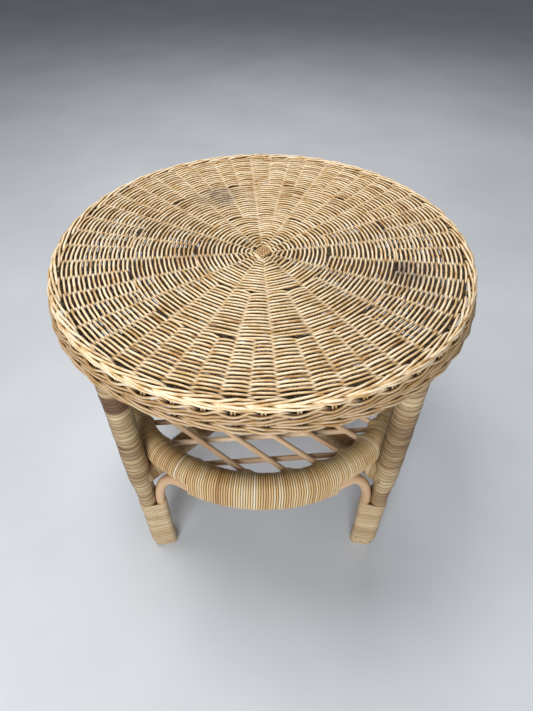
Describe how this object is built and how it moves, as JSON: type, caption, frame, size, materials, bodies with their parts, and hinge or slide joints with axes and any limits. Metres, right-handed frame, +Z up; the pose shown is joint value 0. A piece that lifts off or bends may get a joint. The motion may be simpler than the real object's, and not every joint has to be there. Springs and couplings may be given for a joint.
{
  "type": "wicker coffee table",
  "caption": "Round rattan coffee table: woven top with a woven apron, four wrapped legs, and a wrapped ring shelf with a rod lattice, braced by bent cane arches.",
  "frame": {"origin": "centre of the footprint on the floor", "axes": "+Z up, +X to the right, -Y towards the front arch"},
  "size_m": [0.6, 0.6, 0.524],
  "materials": {
    "woven_strands": "satin round core strands, honey and cream",
    "bark_peel": "wide flat peel, satin, tan with brown patches",
    "narrow_peel": "narrow glossy peel, golden brown",
    "bare_cane": "bare skinned cane, smooth, pinkish tan",
    "hidden_pole": "unfinished rattan pole"
  },
  "bodies": {
    "root": {"top_centre_cross": "woven_strands", "top_weave_inner": "woven_strands", "top_weave_middle": "woven_strands", "top_weave_outer": "woven_strands", "rim_plait": "woven_strands", "apron_weave": "woven_strands", "top_hoop": "hidden_pole", "top_cross_bar_1": "hidden_pole", "top_cross_bar_2": "hidden_pole", "leg_pole_back_right": "hidden_pole", "leg_wrap_back_right": "bark_peel", "joint_wrap_back_right": "bark_peel", "foot_wrap_back_right": "bark_peel", "leg_pole_back_left": "hidden_pole", "leg_wrap_back_left": "bark_peel", "joint_wrap_back_left": "bark_peel", "foot_wrap_back_left": "bark_peel", "leg_pole_front_left": "hidden_pole", "leg_wrap_front_left": "bark_peel", "joint_wrap_front_left": "bark_peel", "foot_wrap_front_left": "bark_peel", "leg_pole_front_right": "hidden_pole", "leg_wrap_front_right": "bark_peel", "joint_wrap_front_right": "bark_peel", "foot_wrap_front_right": "bark_peel", "arch_front": "bare_cane", "arch_right": "bare_cane", "arch_back": "bare_cane", "arch_left": "bare_cane", "shelf_ring_pole": "hidden_pole", "ring_arch_wrap_front": "narrow_peel", "ring_corner_wrap_1": "narrow_peel", "ring_arch_wrap_right": "narrow_peel", "ring_corner_wrap_2": "narrow_peel", "ring_arch_wrap_back": "narrow_peel", "ring_corner_wrap_3": "narrow_peel", "ring_arch_wrap_left": "narrow_peel", "ring_corner_wrap_4": "narrow_peel", "brace_pole_1": "bark_peel", "brace_pole_2": "bark_peel", "lattice_lower_rod_1": "bare_cane", "lattice_lower_rod_2": "bare_cane", "lattice_lower_rod_3": "bare_cane", "lattice_lower_rod_4": "bare_cane", "lattice_lower_rod_5": "bare_cane", "lattice_lower_rod_6": "bare_cane", "lattice_lower_rod_7": "bare_cane", "lattice_lower_rod_8": "bare_cane", "lattice_lower_rod_9": "bare_cane", "lattice_lower_rod_10": "bare_cane", "lattice_upper_rod_1": "bare_cane", "lattice_upper_rod_2": "bare_cane", "lattice_upper_rod_3": "bare_cane", "lattice_upper_rod_4": "bare_cane", "lattice_upper_rod_5": "bare_cane", "lattice_upper_rod_6": "bare_cane", "lattice_upper_rod_7": "bare_cane", "lattice_upper_rod_8": "bare_cane", "lattice_upper_rod_9": "bare_cane", "lattice_upper_rod_10": "bare_cane"}
  },
  "joints": []
}
